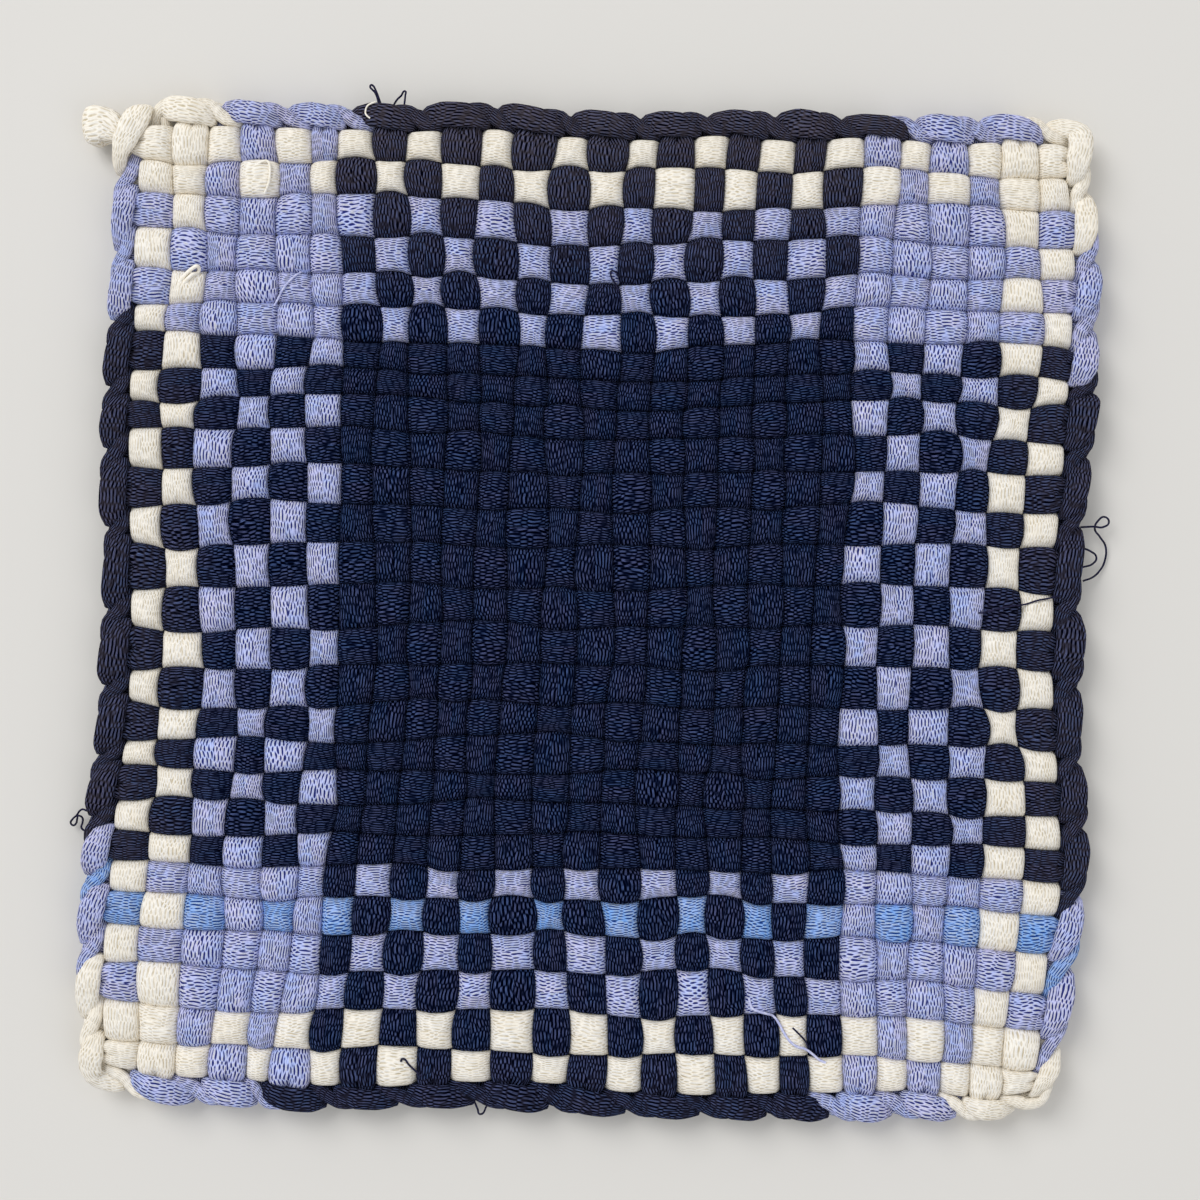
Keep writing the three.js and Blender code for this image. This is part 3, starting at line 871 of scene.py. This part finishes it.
# %% How a thread is made
FEEL = 0.7
FIBRE_SIZE = 0.6
FIBRE_RISE = 0.05
FIBRE_RELIEF = 0.4
YARN_ROUGHNESS = 0.95
YARN_GLOSS = 0.1
THREAD_STEPS = 6
THREAD_ROUNDNESS = 2


def spun_yarn(name, shade, light):
    """A matt yarn that is mottled between two colours."""
    material = bpy.data.materials.new(name)
    material.use_nodes = True
    tree = material.node_tree
    tree.nodes.clear()
    here = add(tree, "ShaderNodeTexCoord", {}, {}, "Object")
    fibre = add(tree, "ShaderNodeTexNoise", {},
                {"Vector": here, "Scale": 1000 / FIBRE_SIZE, "Detail": 2.0})
    fibre = add(tree, "ShaderNodeMapRange", {}, {"Value": fibre, **PATCH_RANGE})
    mottled = add(tree, "ShaderNodeMixRGB", {}, {0: fibre, 1: colour(shade), 2: colour(light)})
    bump = add(tree, "ShaderNodeBump", {},
               {"Height": fibre, "Strength": FIBRE_RELIEF, "Distance": FIBRE_RISE / 1000})
    surface = add(tree, "ShaderNodeBsdfPrincipled", {}, {
        "Base Color": mottled, "Roughness": YARN_ROUGHNESS, "Specular IOR Level": YARN_GLOSS,
        "Normal": bump})
    add(tree, "ShaderNodeOutputMaterial", {}, {"Surface": surface}, None)
    return material


YARNS = {
    # Undyed yarn, a little brighter than the knit, which has shadows between its ribs.
    "ivory_cotton": spun_yarn("ivory_yarn", "#f3ebd9", "#fffaf0"),
    # The periwinkle dye is thin on a single yarn, so it looks lilac.
    "periwinkle_cotton": spun_yarn("lilac_yarn", "#b4b8e2", "#d8daf3"),
    # Almost black where it lies alone.
    "navy_cotton": spun_yarn("navy_yarn", "#15162b", "#2c2b47"),
}


def mesh_points(piece):
    """The points of a piece, in millimetres."""
    flat = np.empty(3 * len(piece.data.vertices), dtype=np.float32)
    piece.data.vertices.foreach_get("co", flat)
    return 1000 * flat.reshape(-1, 3)


CLOTH = np.concatenate([mesh_points(piece) for piece in loops])


def on_cloth(places, thickness):
    """Places whose height is given above the top of the cloth, as places above the floor."""
    laid = []
    for x, y, lift in places:
        near = np.hypot(CLOTH[:, 0] - x, CLOTH[:, 1] - y) < FEEL
        laid.append((x, y, float(CLOTH[near, 2].max()) + thickness / 2 + lift))
    return laid


def loose_thread(name, cotton, places, thickness):
    """A thin thread through those places."""
    bpy.ops.curve.primitive_bezier_curve_add()
    thread = bpy.context.object
    thread.name = name
    thread.data.name = name
    spline = thread.data.splines[0]
    spline.bezier_points.add(len(places) - 2)
    for point, place in zip(spline.bezier_points, places):
        point.co = [x / 1000 for x in place]
        point.handle_left_type = "AUTO"
        point.handle_right_type = "AUTO"
    thread.data.resolution_u = THREAD_STEPS
    thread.data.bevel_depth = thickness / 2000
    thread.data.bevel_resolution = THREAD_ROUNDNESS
    thread.data.use_fill_caps = True
    bpy.ops.object.convert(target="MESH")
    bpy.ops.object.shade_smooth()
    thread.data.materials.append(YARNS[cotton])
    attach(thread, "root")
    return thread


print(len(CLOTH), "points of cloth to lay threads on")

# %% [markdown]
# The places follow the real threads: a curl at the right and one at the left, a few short ends along the
# chain, and on the face a long lilac end, some dark stitches and a few pulled strands.

# %% Loose threads
FINE, MIDDLING, THICK, PULLED = 0.36, 0.42, 0.52, 0.8
EDGE_THREADS = {
    "thread_right": [
        (99.4, 19.4, 4.2), (102.1, 19.6, 4.0), (104.3, 19.6, 3.4), (105.5, 20.7, 3.0), (104.5, 21.7, 3.2),
        (103.2, 20.9, 3.4), (102.6, 19.3, 3.0), (103.9, 17.6, 2.2), (105.4, 15.6, 1.2), (105.3, 12.4, 0.8),
        (104.2, 10.5, 1.2), (102.6, 9.2, 2.2), (100.4, 8.4, 3.4)],
    "thread_right_short": [
        (99.6, 15.2, 4.0), (101.5, 14.6, 3.8), (103.1, 13.2, 3.0), (102.4, 12.0, 3.0), (100.2, 11.2, 3.4)],
    "thread_left": [
        (-101.4, -44.2, 4.2), (-103.5, -43.9, 4.0), (-104.6, -43.7, 3.6), (-105.3, -44.2, 3.2),
        (-105.9, -45.0, 2.6), (-106.9, -45.9, 2.0), (-107.4, -46.8, 1.6), (-106.9, -47.3, 1.4),
        (-106.3, -46.8, 1.5), (-106.0, -45.8, 1.9), (-105.4, -45.1, 2.9), (-104.8, -45.5, 2.6),
        (-104.8, -46.5, 2.2), (-105.1, -47.7, 1.8), (-104.6, -48.2, 1.8), (-102.4, -48.6, 2.4)],
    "thread_top_eye": [
        (-46.8, 102.4, 5.0), (-47.7, 104.9, 5.4), (-48.3, 105.5, 5.5), (-48.7, 106.0, 5.6),
        (-48.5, 106.4, 5.6), (-48.0, 106.1, 5.6), (-47.6, 105.4, 5.5), (-46.4, 102.4, 5.0)],
    "thread_top_bent": [
        (-44.3, 101.6, 5.0), (-43.1, 103.7, 5.2), (-42.4, 104.3, 5.4), (-41.5, 105.3, 5.5),
        (-41.5, 104.5, 5.3), (-41.8, 101.6, 5.0)],
    "thread_bottom": [
        (-22.6, -101.0, 4.2), (-21.7, -103.3, 3.6), (-21.1, -104.6, 3.0), (-19.9, -102.9, 3.4),
        (-19.2, -101.0, 4.2)],
}
FACE_THREADS = {
    "thread_across": ("navy_cotton", FINE, [
        (96.0, 5.6, -0.6), (93.8, 4.9, 0.1), (92.0, 4.5, 0.1), (90.1, 4.1, 0.1), (87.9, 3.3, 0.1),
        (84.2, 2.7, 0.0), (81.6, 2.0, 0.1), (79.3, 1.4, 0.1), (77.4, 1.2, -0.6)]),
    "thread_long": ("periwinkle_cotton", THICK, [
        (33.4, -78.6, -0.6), (34.0, -80.4, 0.1), (35.6, -81.2, 0.1), (37.2, -81.7, 0.1), (38.5, -82.3, 0.2),
        (39.7, -83.7, 0.2), (40.6, -85.3, 0.2), (41.9, -87.0, 0.1), (43.5, -88.1, 0.1), (44.9, -88.5, 0.1),
        (46.7, -89.7, 0.1), (47.9, -90.7, 0.0), (49.4, -91.4, -0.6)]),
    "thread_stitch_right": ("navy_cotton", FINE, [
        (42.4, -84.3, -0.2), (43.7, -85.5, 0.0), (44.7, -86.5, 0.0), (45.3, -87.4, 0.0),
        (46.0, -89.0, -0.6)]),
    "thread_stitch_left": ("navy_cotton", MIDDLING, [
        (-37.4, -93.1, -0.1), (-37.0, -92.5, 0.0), (-35.7, -93.8, 0.0), (-34.1, -95.3, 0.0),
        (-32.9, -96.2, -0.6)]),
    "thread_pale": ("ivory_cotton", FINE, [
        (-47.4, 102.6, -0.5), (-48.1, 102.3, 0.0), (-49.0, 101.7, 0.0), (-49.4, 100.7, 0.0),
        (-49.2, 99.9, 0.0), (-48.4, 99.2, -0.5)]),
    "thread_pulled": ("ivory_cotton", PULLED, [
        (-86.6, 64.8, -0.7), (-85.1, 66.5, 0.0), (-83.7, 67.8, 0.1), (-82.9, 68.1, 0.1), (-82.8, 67.2, 0.1),
        (-84.0, 66.1, 0.0), (-85.6, 64.5, -0.7)]),
    "thread_side": ("ivory_cotton", THICK, [
        (-71.1, 89.4, -0.6), (-70.1, 89.8, 0.0), (-69.1, 89.9, 0.1), (-68.6, 89.0, 0.1), (-68.5, 86.9, 0.0),
        (-68.8, 85.0, 0.0), (-69.6, 83.4, -0.6)]),
    "thread_lilac": ("periwinkle_cotton", MIDDLING, [
        (-61.9, 67.7, -0.6), (-63.4, 66.1, 0.0), (-65.1, 64.1, 0.1), (-66.3, 62.2, 0.0),
        (-67.2, 60.6, -0.6)]),
    "thread_upper": ("navy_cotton", FINE, [
        (3.1, 65.5, -0.6), (2.4, 67.0, 0.0), (1.8, 67.7, 0.1), (1.5, 68.6, 0.1), (1.6, 69.1, 0.1),
        (2.2, 69.2, 0.1), (2.7, 68.9, 0.1), (3.2, 68.3, -0.6)]),
}
threads = [loose_thread(name, "navy_cotton", places, MIDDLING) for name, places in EDGE_THREADS.items()]
for name, (cotton, thickness, places) in FACE_THREADS.items():
    threads.append(loose_thread(name, cotton, on_cloth(places, thickness), thickness))
print(len(threads), "loose threads")

# %% [markdown]
# A pale floor, and an even light from all sides with a large soft lamp at the upper left and a weak fill, so
# that the colours come out about as they are written.

# %% Floor and light
# From here on lengths are in metres.
FLOOR_SIZE = 6.0
FLOOR_ROUGHNESS = 0.9
SKY_STRENGTH = 0.64
bpy.ops.mesh.primitive_plane_add(size=FLOOR_SIZE, location=(0, 0, 0))
floor = bpy.context.object
floor.name = "floor"
paper = bpy.data.materials.new("pale_floor")
paper.use_nodes = True
shader = paper.node_tree.nodes["Principled BSDF"]
shader.inputs["Base Color"].default_value = colour("#dfdcd6")
shader.inputs["Roughness"].default_value = FLOOR_ROUGHNESS
floor.data.materials.append(paper)

world = bpy.data.worlds.new("studio")
bpy.context.scene.world = world
world.use_nodes = True
sky = world.node_tree.nodes["Background"]
sky.inputs["Color"].default_value = colour("#f4f6fa")
sky.inputs["Strength"].default_value = SKY_STRENGTH


def soft_light(name, place, size, power):
    """A square area light that looks at the middle of the potholder."""
    bpy.ops.object.light_add(type="AREA", location=place)
    light = bpy.context.object
    light.name = name
    light.data.size = size
    light.data.energy = power
    x, y, z = place
    light.rotation_euler = (math.atan2(math.hypot(x, y), z), 0, math.atan2(x, -y))
    print(name, power, "W")


soft_light("window", place=(-1.65, 1.65, 2.25), size=1.8, power=56.0)
soft_light("fill", place=(2.1, -1.5, 2.4), size=2.7, power=16.0)

# %% [markdown]
# The camera looks straight down, turned by the small angle at which the potholder lies in the picture. Its
# height follows from its lens and from the width that it has to see at the top of the cloth.

# %% Camera
CAMERA_ROLL = math.radians(1.405)
VIEW_WIDTH = 0.2457
VIEW_LEVEL = 0.006
AIM = (0.00096, 0.00202)
# The lens is in millimetres, as cameras count it.
LENS = 60.0
NEAREST = 0.01
bpy.ops.object.camera_add(location=(*AIM, VIEW_LEVEL))
camera = bpy.context.object
camera.data.lens = LENS
camera.data.clip_start = NEAREST
camera.location.z += VIEW_WIDTH * LENS / camera.data.sensor_width
camera.rotation_euler = (0, 0, CAMERA_ROLL)
bpy.context.scene.camera = camera
bpy.context.scene.view_settings.view_transform = "Standard"
print("camera", round(camera.location.z, 4), "m above the floor")

# %% [markdown]
# The last step updates the scene.

# %% Finish
bpy.context.view_layer.update()
